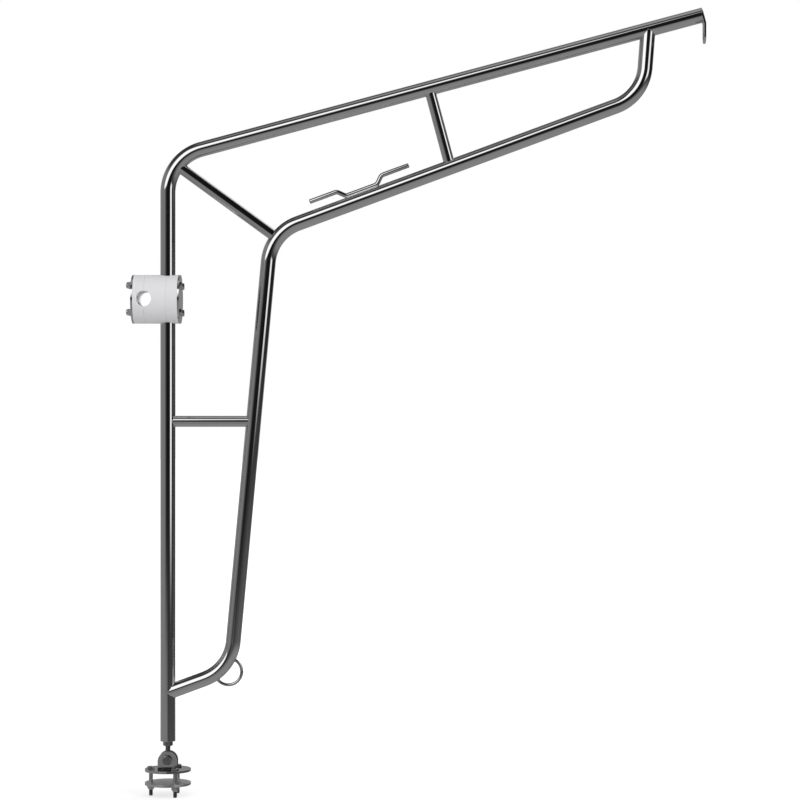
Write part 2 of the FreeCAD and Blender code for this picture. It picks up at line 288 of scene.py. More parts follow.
@dataclass(frozen=True)
class Finish:
    """One surface finish, as a Principled material with tool marks and smudges."""

    name: str
    colour: Triple
    metallic: float
    roughness: float
    grain: Grain
    mark_scale: float
    mark_height: float
    mark_share: float
    smudge_scale: float
    smudge_share: float
    tint_share: float
    specular: float = 0.5

    def marks_place(self, graph: Graph) -> NodeSocket:
        """Adds the coordinates that the tool marks follow.

        Args:
            graph: the material's graph.

        Returns:
            The coordinates' socket.
        """
        if self.grain is Grain.TUBE_RINGS:
            along = graph.add("ShaderNodeAttribute", attribute_name="along", attribute_type="GEOMETRY")
            return graph.out("ShaderNodeCombineXYZ", {"X": along.outputs["Fac"]})
        spread = {0: graph.place(), 1: self.grain.value}
        return graph.out("ShaderNodeVectorMath", spread, operation="MULTIPLY")

    def material(self) -> Material:
        """Builds the finish.

        Returns:
            Its material.
        """
        material = bpy.data.materials.new(self.name)
        graph = shading(material)
        marked = {"Vector": self.marks_place(graph), "Scale": self.mark_scale}
        marks = graph.out("ShaderNodeGroup", marked, node_tree=TOOL_MARKS)
        smudged = {"Vector": graph.place(), "Scale": self.smudge_scale}
        smudge = graph.out("ShaderNodeGroup", smudged, node_tree=SMUDGES)
        rough = graph.math("MULTIPLY_ADD", marks, self.mark_share, self.roughness)
        tint = [channel * (1 - self.tint_share) for channel in self.colour]
        looks = {
            "Base Color": graph.mix(smudge, (*self.colour, 1), (*tint, 1)),
            "Metallic": self.metallic,
            "Roughness": graph.math("MULTIPLY_ADD", smudge, self.smudge_share, rough),
            "Specular IOR Level": self.specular,
            "Normal": graph.out("ShaderNodeBump", {"Height": marks, "Distance": self.mark_height}),
        }
        graph.add("ShaderNodeOutputMaterial", {"Surface": graph.out("ShaderNodeBsdfPrincipled", looks)})
        return material


# Each finish gives its values in the order of the fields.
POLISHED_TUBE = Finish(
    "mirror_polished_tube", (0.63, 0.63, 0.635), 1.0, 0.035, Grain.TUBE_RINGS, 1500, 1e-7, 0.015, 14, 0.02,
    tint_share=0.03,
).material()
POLISHED_PLATE = Finish(
    "polished_plate", (0.63, 0.63, 0.635), 1.0, 0.06, Grain.BRUSHED, 900, 3e-7, 0.03, 25, 0.03, 0.04
).material()
SATIN_PLATE = Finish(
    "satin_plate", (0.6, 0.6, 0.605), 1.0, 0.08, Grain.BRUSHED, 700, 5e-7, 0.05, 40, 0.05, 0.05
).material()
POLISHED_ROD = Finish(
    "polished_rod", (0.62, 0.62, 0.625), 1.0, 0.07, Grain.TUBE_RINGS, 1800, 4e-7, 0.04, 20, 0.04, 0.04
).material()
WELD = Finish(
    "dressed_weld", (0.74, 0.735, 0.73), 1.0, 0.32, Grain.SCATTERED, 500, 1e-6, 0.06, 60, 0.05, 0.06
).material()
# Pale, nearly non-metal weld for the rope cleat: its light colour is a painted reflection where the cleat
# meets the arm.
WELD_PAINTED_SHEEN = Finish(
    "matt_weld", (0.74, 0.74, 0.745), 0.1, 0.5, Grain.SCATTERED, 500, 1e-6, 0.06, 60, 0.05, 0.06
).material()
FASTENER = Finish(
    "bright_fastener", (0.58, 0.58, 0.585), 1.0, 0.06, Grain.SCATTERED, 1100, 5e-7, 0.03, 70, 0.04, 0.08
).material()
FORGING = Finish(
    "satin_forging", (0.36, 0.36, 0.365), 1.0, 0.12, Grain.SCATTERED, 900, 2e-6, 0.08, 60, 0.08, 0.12
).material()
DULL_FASTENER = Finish(
    "dull_fastener", (0.56, 0.56, 0.565), 1.0, 0.17, Grain.SCATTERED, 1100, 8e-7, 0.05, 70, 0.05, 0.08
).material()
SATIN_STEEL = Finish(
    "satin_steel", (0.76, 0.76, 0.765), 1.0, 0.3, Grain.SCATTERED, 1100, 1e-6, 0.06, 70, 0.06, 0.08
).material()
# Dark thread: its low colour is painted shade on the threads of the bolts and the eyebolt's neck.
THREAD_PAINTED_SHADE = Finish(
    "oiled_thread", (0.2, 0.2, 0.205), 1.0, 0.3, Grain.SCATTERED, 900, 4e-6, 0.15, 90, 0.1, 0.25
).material()
TURNED_STEEL = Finish(
    "turned_steel", (0.5, 0.5, 0.51), 1.0, 0.28, Grain.Z_RINGS, 2500, 4e-6, 0.12, 50, 0.08, 0.08
).material()
WHITE_PLASTIC = Finish(
    "turned_white_plastic", (0.82, 0.82, 0.835), 0.0, 0.46, Grain.X_RINGS, 1300, 6e-6, 0.1, 18, 0.06, 0.025
).material()
# Paler plastic for the rail's bore: its lighter colour is painted light that lifts the shade inside the bore.
BORE_PAINTED_LIGHT_PLASTIC = Finish(
    "bored_white_plastic", (0.95, 0.95, 0.96), 0.0, 0.7, Grain.SCATTERED, 1300, 4e-6, 0.1, 18, 0.06, 0.025,
    specular=0.05,
).material()
BEARING_PLASTIC = Finish(
    "bearing_plastic", (0.72, 0.71, 0.69), 0.0, 0.5, Grain.SCATTERED, 1200, 5e-6, 0.1, 40, 0.08, 0.06
).material()


def swept(graph: Graph, start: Any, curve: NodeSocket, more: dict[str, Any]) -> NodeSocket:
    """Adds the nodes that sweep a circle along a curve.

    Args:
        graph: the tree's graph.
        start: the tree's inputs, which give the circle's sides and radius.
        curve: the curve.
        more: further inputs of the Curve to Mesh node.

    Returns:
        The swept mesh.
    """
    circle_inputs = {"Resolution": start["Sides"], "Radius": start["Radius"]}
    profile = graph.out("GeometryNodeCurvePrimitiveCircle", circle_inputs)
    return graph.out("GeometryNodeCurveToMesh", {"Curve": curve, "Profile Curve": profile, **more})


def dressed(graph: Graph, start: Any, shape: NodeSocket) -> NodeSocket:
    """Adds the nodes that realize instances and set the tree's material, and returns the result."""
    whole = graph.out("GeometryNodeRealizeInstances", {"Geometry": shape})
    return graph.out("GeometryNodeSetMaterial", {"Geometry": whole, "Material": start["Material"]})


def sweep_tree() -> NodeTree:
    """Builds the tree that sweeps a round tube or rod along a route and saddles its ends on host tubes.

    Returns:
        The tree.
    """
    sizes = {"Bend radius": "Float", "Bend steps": "Int", "Radius": "Float", "Sides": "Int", "Caps": "Bool"}
    hosts = {"Start host": "Object", "End host": "Object", "Reach": "Float"}
    inputs = {"Route": "Geometry", **sizes, **hosts, "Material": "Material"}
    graph, start = new_group("Geometry", "Swept tube", inputs, {"Tube": "Geometry"})
    curve = graph.out("GeometryNodeMeshToCurve", {"Mesh": start["Route"]})
    bends = {"Curve": curve, "Count": start["Bend steps"], "Radius": start["Bend radius"]}
    bent = graph.out("GeometryNodeFilletCurve", bends, mode="POLY")
    run = graph.add("GeometryNodeSplineParameter").outputs["Length"]
    marks = {"Geometry": bent, "Name": "along", "Value": run}
    marked = graph.out("GeometryNodeStoreNamedAttribute", marks, data_type="FLOAT", domain="POINT")
    capture = graph.add("GeometryNodeCaptureAttribute", {"Geometry": marked})
    for kind, name in (("BOOLEAN", "First ring"), ("BOOLEAN", "Last ring"), ("VECTOR", "Tangent")):
        capture.capture_items.new(kind, name)
    for name, size in (("First ring", 1), ("Last ring", 0)):
        ring = graph.out("GeometryNodeCurveEndpointSelection", {"Start Size": size, "End Size": 1 - size})
        graph.tree.links.new(ring, capture.inputs[name])
    graph.tree.links.new(graph.out("GeometryNodeInputTangent"), capture.inputs["Tangent"])
    kept = capture.outputs
    shape = swept(graph, start, kept["Geometry"], {"Fill Caps": start["Caps"]})
    # Each end ring runs along the tube's axis until it meets its host.
    for ring, host, sense in (("First ring", "Start host", -1.0), ("Last ring", "End host", 1.0)):
        target = graph.add("GeometryNodeObjectInfo", {"Object": start[host]}).outputs["Geometry"]
        away = graph.scaled(kept["Tangent"], sense)
        aim = {"Target Geometry": target, "Ray Direction": away, "Ray Length": start["Reach"]}
        hit = graph.add("GeometryNodeRaycast", aim).outputs
        runs = {"Switch": hit["Is Hit"], "False": start["Reach"], "True": hit["Hit Distance"]}
        move = graph.scaled(away, graph.out("GeometryNodeSwitch", runs, input_type="FLOAT"))
        moves = {"Geometry": shape, "Selection": kept[ring], "Offset": move}
        shape = graph.out("GeometryNodeSetPosition", moves)
    smooth = graph.out("GeometryNodeSetShadeSmooth", {"Geometry": shape})
    graph.add("NodeGroupOutput", {"Tube": dressed(graph, start, smooth)})
    return graph.tree


def bead_tree() -> NodeTree:
    """Builds the tree that lays a rippled weld bead along closed lines.

    Returns:
        The tree.
    """
    sizes = dict.fromkeys(("Corner radius", "Step", "Radius", "Ripple", "Ripple share"), "Float")
    inputs = {"Lines": "Geometry", **sizes, "Sides": "Int", "Material": "Material"}
    graph, start = new_group("Geometry", "Weld bead", inputs, {"Beads": "Geometry"})
    curve = graph.out("GeometryNodeMeshToCurve", {"Mesh": start["Lines"]})
    corners = {"Count": BEAD_CORNER_STEPS, "Radius": start["Corner radius"], "Limit Radius": True}
    eased = graph.out("GeometryNodeFilletCurve", {"Curve": curve, **corners}, mode="POLY")
    steps = {"Curve": eased, "Length": start["Step"]}
    even = graph.out("GeometryNodeResampleCurve", steps, mode="LENGTH")
    run = graph.add("GeometryNodeSplineParameter").outputs["Length"]
    turn = graph.math("MULTIPLY", graph.math("DIVIDE", run, start["Ripple"]), 2 * pi)
    swell = graph.math("MULTIPLY_ADD", graph.math("SINE", turn), start["Ripple share"], 1.0)
    bead = swept(graph, start, even, {"Scale": swell})
    smooth = graph.out("GeometryNodeSetShadeSmooth", {"Geometry": bead})
    graph.add("NodeGroupOutput", {"Beads": dressed(graph, start, smooth)})
    return graph.tree


def fastener_tree() -> NodeTree:
    """Builds the tree that sets copies of a fastener on points, with a second finish on its marked faces.

    Returns:
        The tree.
    """
    finishes = {"Material": "Material", "Marked material": "Material"}
    inputs = {"Spots": "Geometry", "Fastener": "Object", "Turn": "Vector", **finishes}
    graph, start = new_group("Geometry", "Fastener set", inputs, {"Fasteners": "Geometry"})
    master = graph.add("GeometryNodeObjectInfo", {"Object": start["Fastener"]}).outputs["Geometry"]
    turn = graph.out("FunctionNodeEulerToRotation", {"Euler": start["Turn"]})
    copying = {"Points": start["Spots"], "Instance": master, "Rotation": turn}
    plain = dressed(graph, start, graph.out("GeometryNodeInstanceOnPoints", copying))
    marked = graph.add("GeometryNodeInputNamedAttribute", {"Name": "marked"}, data_type="BOOLEAN")
    second = {"Selection": marked.outputs["Attribute"], "Material": start["Marked material"]}
    both = graph.out("GeometryNodeSetMaterial", {"Geometry": plain, **second})
    graph.add("NodeGroupOutput", {"Fasteners": both})
    return graph.tree


SWEEP = sweep_tree()
BEADS = bead_tree()
FASTENERS = fastener_tree()


def linked(name: str, data: ID) -> Object:
    """Puts a mesh, camera or lamp in the scene.

    Args:
        name: the object's name.
        data: the mesh, camera or lamp.

    Returns:
        The object.
    """
    obj = bpy.data.objects.new(name, data)
    bpy.context.scene.collection.objects.link(obj)
    return obj


def harvested(obj: Object) -> Mesh:
    """Turns an object with modifiers into a plain mesh and removes the object.

    Args:
        obj: the object.

    Returns:
        The mesh.
    """
    graph = bpy.context.evaluated_depsgraph_get()
    ready = obj.evaluated_get(graph)
    mesh = bpy.data.meshes.new_from_object(ready, preserve_all_data_layers=True, depsgraph=graph)
    bpy.data.objects.remove(obj)
    return mesh


def grown(tree: NodeTree, seed: Mesh, **inputs: Any) -> Mesh:
    """Runs a geometry tree on a seed mesh.

    Args:
        tree: the tree to run.
        seed: the route, lines or points that it starts from.
        inputs: value of each named input, with underscores for spaces.

    Returns:
        The plain mesh that the tree makes.
    """
    obj = linked("seed", seed)
    modifier = obj.modifiers.new("grow", "NODES")
    modifier.node_group = tree
    for item in tree.interface.items_tree:
        key = item.name.replace(" ", "_").lower()
        if item.in_out == "INPUT" and key in inputs:
            modifier[item.identifier] = inputs[key]
    return harvested(obj)


def refined(mesh: Mesh, *steps: tuple[str, dict[str, Any]]) -> Mesh:
    """Runs modifiers over a mesh.

    Args:
        mesh: the mesh to change.
        steps: type and settings of each modifier, in order.

    Returns:
        The plain result.
    """
    obj = linked("blank", mesh)
    for kind, settings in steps:
        modifier = obj.modifiers.new(kind, kind)
        for name, value in settings.items():
            setattr(modifier, name, value)
    return harvested(obj)


def eased(width: float, segments: int, angle: float) -> tuple[str, dict[str, Any]]:
    """Returns the modifier step that rounds edges sharper than an angle."""
    settings = {"width": width, "segments": segments, "limit_method": "ANGLE", "angle_limit": angle}
    return "BEVEL", settings


def smoothed(mesh: Mesh, angle: float = SMOOTH_ANGLE) -> Mesh:
    """Shades a mesh smooth apart from its sharp edges.

    Args:
        mesh: the mesh to change.
        angle: angle past which an edge is sharp.

    Returns:
        The same mesh.
    """
    mesh.shade_smooth()
    mesh.set_sharp_from_angle(angle=angle)
    return mesh


def line_mesh(lines: Sequence[Sequence[Vector]], closed: bool = False) -> Mesh:
    """Makes a mesh of edges along lines of points.

    Args:
        lines: the points of each line.
        closed: whether each line returns to its first point.

    Returns:
        The mesh, with no faces.
    """
    points: list[Vector] = []
    edges: list[tuple[int, int]] = []
    for line in lines:
        first = len(points)
        points.extend(line)
        edges.extend((first + step, first + step + 1) for step in range(len(line) - 1))
        if closed:
            edges.append((len(points) - 1, first))
    mesh = bpy.data.meshes.new("lines")
    mesh.from_pydata(points, edges, [])
    return mesh


def skinned(rings: Sequence[Sequence[Vector]], closed: bool, marked_rows: range = range(0)) -> Mesh:
    """Skins rings of points with quads.

    Args:
        rings: rings of equal length, each counter-clockwise seen from the last ring's side.
        closed: whether the last ring joins the first, as on a washer; otherwise both ends are capped.
        marked_rows: rows of quads that take a fastener's second finish.

    Returns:
        The closed mesh.
    """
    count = len(rings[0])
    points = [point for ring in rings for point in ring]
    rows = len(rings) if closed else len(rings) - 1
    faces: list[tuple[int, ...]] = []
    for row in range(rows):
        low = row * count
        high = (row + 1) % len(rings) * count
        for step in range(count):
            ahead = (step + 1) % count
            faces.append((low + step, low + ahead, high + ahead, high + step))
    if not closed:
        faces.append(tuple(reversed(range(count))))
        faces.append(tuple(range(len(points) - count, len(points))))
    mesh = bpy.data.meshes.new("skin")
    mesh.from_pydata(points, [], faces)
    marks = mesh.attributes.new("marked", "BOOLEAN", "FACE")
    marks.data.foreach_set("value", [index // count in marked_rows for index in range(len(faces))])
    return smoothed(mesh, BEVEL_ANGLE)


def full_turn(steps: int) -> list[float]:
    """Returns the angles of even steps round a circle."""
    return [2 * pi * step / steps for step in range(steps)]


def polar(radius: float, turn: float, height: float) -> Vector:
    """Returns the point at a radius, an angle round the Z axis and a height."""
    return Vector((radius * cos(turn), radius * sin(turn), height))


def circle(radius: float, height: float, columns: int) -> list[Vector]:
    """Returns a ring of points round the Z axis."""
    return [polar(radius, turn, height) for turn in full_turn(columns)]


def softened(node: str, width: float = 0.0) -> Mesh:
    """Copies a node's mesh, merges it, eases its sharp edges and shades it smooth.

    Args:
        node: name of the node.
        width: width of the eased edges, or zero to leave them.

    Returns:
        The new mesh.
    """
    shape = bmesh.new()
    shape.from_mesh(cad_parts[node].data)
    bmesh.ops.remove_doubles(shape, verts=shape.verts, dist=MERGE_GAP)
    bmesh.ops.dissolve_limit(shape, angle_limit=FLAT_ANGLE, verts=shape.verts, edges=shape.edges)
    mesh = bpy.data.meshes.new(node)
    shape.to_mesh(mesh)
    shape.free()
    steps = [eased(width, EASE_SEGMENTS, SMOOTH_ANGLE)] if width else []
    steps.append(("WEIGHTED_NORMAL", {"keep_sharp": True, "weight": LARGE_FACE_WEIGHT}))
    return refined(smoothed(mesh), *steps)


def placed(
    name: str, mesh: Mesh, body: Body, slot: Slot, *nodes: str, material: Material | None = None
) -> Object:
    """Makes a finished piece.

    Args:
        name: the piece's name.
        mesh: its mesh, in the part's own frame.
        body: the body that it moves with.
        slot: the record's slot for its finish; not used.
        nodes: CAD nodes that it stands for.
        material: its finish, unless the mesh has one.

    Returns:
        The piece.
    """
    mesh.name = name
    if material:
        mesh.materials.clear()
        mesh.materials.append(material)
    obj = linked(name, mesh)
    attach(obj, body.value)
    if nodes:
        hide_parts(*nodes)
    return obj


def copied(name: str, node: str, body: Body, slot: Slot, material: Material, ease: float = 0.0) -> Object:
    """Makes a finished piece from a CAD node, with its edges eased, and returns it."""
    return placed(name, softened(node, ease), body, slot, node, material=material)


def weld_beads(
    lines: Sequence[Sequence[Vector]], radius: float, ripple: float, corner: float = 0.0
) -> Mesh:
    """Lays weld beads.

    Args:
        lines: points of each closed line.
        radius: radius of the bead.
        ripple: distance from one ripple to the next.
        corner: radius that rounds the lines' corners.

    Returns:
        The beads' mesh.
    """
    ripples = {"ripple": ripple, "ripple_share": RIPPLE_SHARE, "step": ripple / STEPS_PER_RIPPLE}
    seed = line_mesh(lines, closed=True)
    return grown(BEADS, seed, corner_radius=corner, radius=radius, sides=BEAD_SIDES, material=WELD, **ripples)


def ray(angle: float) -> Vector:
    """Returns a unit vector in the frame's plane, at an angle in degrees above +X."""
    return Vector((cos(radians(angle)), 0, sin(radians(angle))))


def meet(start: Vector, way: Vector, other_start: Vector, other_way: Vector) -> Vector:
    """Finds where two lines of the frame's plane cross.

    Args:
        start: a point of the first line.
        way: the first line's direction.
        other_start: a point of the second line.
        other_way: the second line's direction.

    Returns:
        The point.
    """
    gap = other_start - start
    across = way.x * other_way.z - way.z * other_way.x
    return start + way * ((gap.x * other_way.z - gap.z * other_way.x) / across)


@dataclass
class TubeFrame:
    """Bent main tube, its brace, the three struts, the tip plate and the mast's foot."""

    tube_radius: float = 0.015
    tube_wall: float = 0.002
    strut_radius: float = 0.011
    strut_wall: float = 0.0015
    bend_radius: float = 0.09
    bend_steps: int = 40
    sides: int = 96
    mast_foot: float = 0.06
    corner_height: float = 1.2252
    boom_rise: float = 15.0
    boom_length: float = 1.104
    brace_foot: float = 0.157
    brace_rise: float = 20.24
    lower_reach: float = 0.1256
    leg_lean: float = 5.27
    inner_height: float = 1.075
    arm_reach: float = 0.9499
    end_lean: float = 4.4
    mast_strut_height: float = 0.699
    boom_strut_place: float = 0.541
    cope_trim: float = 0.0005
    cope_reach: float = 0.027
    bead_radius: float = 0.0004
    bead_ripple: float = 0.0016
    plate_ease: float = 0.0002

    def __post_init__(self) -> None:
        """Works out the corners of the tubes' routes."""
        self.boom_ray = ray(self.boom_rise)
        self.arm_ray = ray(self.brace_rise)
        self.arm_up = ray(self.brace_rise + 90)
        leg_ray = ray(90 - self.leg_lean)
        end_ray = ray(90 - self.end_lean)
        corner = UP * self.corner_height
        self.main_route = [UP * self.mast_foot, corner, corner + self.boom_ray * self.boom_length]
        foot = UP * self.brace_foot
        lower = meet(foot, self.arm_ray, BOOM_SIDE * self.lower_reach, UP)
        inner = meet(lower, leg_ray, UP * self.inner_height, BOOM_SIDE)
        right = meet(inner, self.arm_ray, BOOM_SIDE * self.arm_reach, UP)
        top = meet(right, end_ray, corner, self.boom_ray)
        self.brace_route = [foot, lower, inner, right, top]
        strut_top = corner + self.boom_ray * self.boom_strut_place
        strut_foot = meet(strut_top, ray(self.boom_rise - 90), inner, self.arm_ray)
        cross_start = UP * self.mast_strut_height
        self.strut_routes = {
            "knee_strut": [self.bend(self.main_route)[0], self.bend(self.brace_route[1:4])[0]],
            "boom_strut": [strut_top, strut_foot],
            "mast_strut": [cross_start, meet(cross_start, BOOM_SIDE, lower, leg_ray)],
        }

    def bend(self, route: Sequence[Vector]) -> tuple[Vector, Vector]:
        """Finds the arc that rounds a corner.

        Args:
            route: the point before the corner, the corner and the point after it.

        Returns:
            The arc's middle and its centre.
        """
        before, corner, after = route
        back = (before - corner).normalized()
        ahead = (after - corner).normalized()
        half_turn = (pi - back.angle(ahead)) / 2
        inwards = (back + ahead).normalized()
        centre = corner + inwards * (self.bend_radius / cos(half_turn))
        return centre - inwards * self.bend_radius, centre

    def shortened(self, route: Sequence[Vector]) -> list[Vector]:
        """Cuts a route's ends short of the axes that they run to, ready to be saddled.

        Args:
            route: corners of a tube's axis.

        Returns:
            The shorter route.
        """
        back = self.cope_trim + self.cope_reach
        first = route[0] + (route[1] - route[0]).normalized() * back
        last = route[-1] + (route[-2] - route[-1]).normalized() * back
        return [first, *route[1:-1], last]

    def skin(self, route: Sequence[Vector], radius: float, hosts: Sequence[Object] = ()) -> Mesh:
        """Sweeps a tube's outer skin.

        Args:
            route: corners of the tube's axis.
            radius: the tube's outer radius.
            hosts: tubes that its first and last ends sit on, if any.

        Returns:
            The skin, open at both ends.
        """
        sizes = {"bend_radius": self.bend_radius, "bend_steps": self.bend_steps, "sides": self.sides}
        ends = {"start_host": hosts[0], "end_host": hosts[1], "reach": self.cope_reach} if hosts else {}
        return grown(SWEEP, line_mesh([route]), radius=radius, material=POLISHED_TUBE, **sizes, **ends)

    def tube(self, name: str, skin: Mesh, wall: float, node: str) -> Object:
        """Gives a skin its wall, inwards, and returns the finished tube."""
        thicken = ("SOLIDIFY", {"thickness": wall, "offset": -1, "use_even_offset": True})
        return placed(name, smoothed(refined(skin, thicken)), Body.FRAME, Slot.TUBE, node)

    def end_rings(self, skin: Mesh) -> list[list[Vector]]:
        """Returns the points of a skin's first and last rings."""
        points = [vertex.co.copy() for vertex in skin.vertices]
        return [points[: self.sides], points[-self.sides :]]

    def build(self) -> list[Object]:
        """Builds the frame's tubes, welds, tip plate and foot.

        Returns:
            The pieces.
        """
        main_skin = self.skin(self.main_route, self.tube_radius)
        main = self.tube("mast_and_boom", main_skin, self.tube_wall, "main_tube")
        brace_skin = self.skin(self.shortened(self.brace_route), self.tube_radius, (main, main))
        seams = self.end_rings(brace_skin)
        brace = self.tube("brace", brace_skin, self.tube_wall, "brace_tube")
        pieces = [main, brace]
        for node, route in self.strut_routes.items():
            skin = self.skin(self.shortened(route), self.strut_radius, (main, brace))
            seams += self.end_rings(skin)
            pieces.append(self.tube(f"{node}_tube", skin, self.strut_wall, node))
        beads = weld_beads(seams, self.bead_radius, self.bead_ripple)
        pieces.append(placed("tube_welds", beads, Body.FRAME, Slot.FITTING))
        for name, node, slot, finish in (
            ("tip_plate", "tip_eye_plate", Slot.FITTING, POLISHED_PLATE),
            ("mast_plug", "foot_plug", Slot.TURNED, TURNED_STEEL),
            ("mast_bush", "foot_bush", Slot.BEARING, BEARING_PLASTIC),
        ):
            pieces.append(copied(name, node, Body.FRAME, slot, finish, self.plate_ease))
        return pieces


@dataclass
class RopeFittings:
    """Rope eye outside the lower bend and rope cleat on the arm."""

    tubes: TubeFrame
    eye_rod: float = 0.00325
    eye_radius: float = 0.0265
    eye_standoff: float = 0.0008
    eye_turn: float = 3.5
    eye_sink: float = 0.0015
    eye_steps: int = 72
    eye_weld_points: int = 32
    cleat_rod: float = 0.00475
    cleat_length: float = 0.212
    cleat_base: float = 0.066
    cleat_step: float = 0.0142
    cleat_bend: float = 0.012
    cleat_bend_steps: int = 10
    cleat_seat: float = 0.0015
    cleat_place: float = 0.2
    cleat_round: float = 0.002
    cleat_round_segments: int = 6
    cleat_round_angle: float = 60.0
    cleat_weld: float = 0.0013
    weld_spread: float = 0.0043
    bead_radius: float = 0.0009
    bead_ripple: float = 0.0018
    sides: int = 40

    def rod(self, route: Sequence[Vector], radius: float, bend: float, steps: int) -> Mesh:
        """Sweeps a solid round rod along a route and returns its mesh."""
        sizes = {"bend_radius": bend, "bend_steps": steps, "radius": radius, "sides": self.sides}
        return grown(SWEEP, line_mesh([route]), caps=True, material=POLISHED_ROD, **sizes)

    def eye_point(self, centre: Vector, outwards: Vector, turn: float) -> Vector:
        """Returns a point of the eye's axis, at an angle from the way that it points."""
        aside = REAR.cross(outwards)
        return centre + (outwards * cos(turn) + aside * sin(turn)) * self.eye_radius

    def eye(self) -> tuple[Mesh, list[list[Vector]]]:
        """Builds the rope eye.

        Returns:
            Its mesh, and the rings of points where it is welded on.
        """
        tubes = self.tubes
        middle, bend_centre = tubes.bend(tubes.brace_route[:3])
        outwards = (middle - bend_centre).normalized()
        outwards.rotate(Quaternion(REAR, radians(self.eye_turn)))
        surface = tubes.bend_radius + tubes.tube_radius
        stand = surface + self.eye_standoff
        centre = bend_centre + outwards * stand

        def turn_at(depth: float) -> float:
            """Returns the angle at which the eye's axis comes within a distance of the bend's centre."""
            return acos((depth**2 - stand**2 - self.eye_radius**2) / (2 * stand * self.eye_radius))

        sweep = turn_at(surface - self.eye_sink)
        turns = [sweep * (2 * step / self.eye_steps - 1) for step in range(self.eye_steps + 1)]
        route = [self.eye_point(centre, outwards, turn) for turn in turns]
        mesh = self.rod(route, self.eye_rod, bend=0.0, steps=1)
        rings = []
        for turn in (turn_at(surface), -turn_at(surface)):
            spot = self.eye_point(centre, outwards, turn)
            across = (spot - centre).normalized() * self.eye_rod
            aside = REAR * self.eye_rod
            ring = circle(1.0, 0.0, self.eye_weld_points)
            rings.append([spot + across * point.x + aside * point.y for point in ring])
        return mesh, rings

    def cleat(self) -> tuple[Mesh, list[Vector]]:
        """Builds the rope cleat.

        Returns:
            Its mesh, and the line along which it is welded on.
        """
        tubes = self.tubes
        spot = tubes.brace_route[2] + tubes.arm_ray * self.cleat_place
        seat = spot + tubes.arm_up * (tubes.tube_radius + self.cleat_rod - self.cleat_seat)
        base = self.cleat_base / 2
        outline = [
            (-self.cleat_length / 2, self.cleat_step),
            (-base - self.cleat_step, self.cleat_step),
            (-base, 0),
            (base, 0),
            (base + self.cleat_step, self.cleat_step),
            (self.cleat_length / 2, self.cleat_step),
        ]
        route = [seat + tubes.arm_ray * along + tubes.arm_up * height for along, height in outline]
        rod = self.rod(route, self.cleat_rod, self.cleat_bend, self.cleat_bend_steps)
        ends = eased(self.cleat_round, self.cleat_round_segments, radians(self.cleat_round_angle))
        rise = sqrt(tubes.tube_radius**2 - self.weld_spread**2) + self.cleat_weld / 2
        line = [
            spot + tubes.arm_ray * (along * base) + REAR * (side * self.weld_spread) + tubes.arm_up * rise
            for along, side in SQUARE
        ]
        return smoothed(refined(rod, ends)), line

    def build(self) -> list[Object]:
        """Builds both fittings and their welds.

        Returns:
            The pieces.
        """
        eye, lines = self.eye()
        cleat, seam = self.cleat()
        eye_beads = weld_beads(lines, self.bead_radius, self.bead_ripple)
        cleat_bead = weld_beads([seam], self.cleat_weld, self.bead_ripple, self.weld_spread)
        return [
            placed("rope_eye_ring", smoothed(eye), Body.FRAME, Slot.FITTING, "rope_eye"),
            placed("rope_cleat_rod", cleat, Body.FRAME, Slot.FITTING, "rope_cleat"),
            placed("rope_eye_welds", eye_beads, Body.FRAME, Slot.FITTING),
            # The cleat's weld carries a painted reflection in its pale colour.
            placed("rope_cleat_weld", cleat_bead, Body.FRAME, Slot.FITTING, material=WELD_PAINTED_SHEEN),
        ]


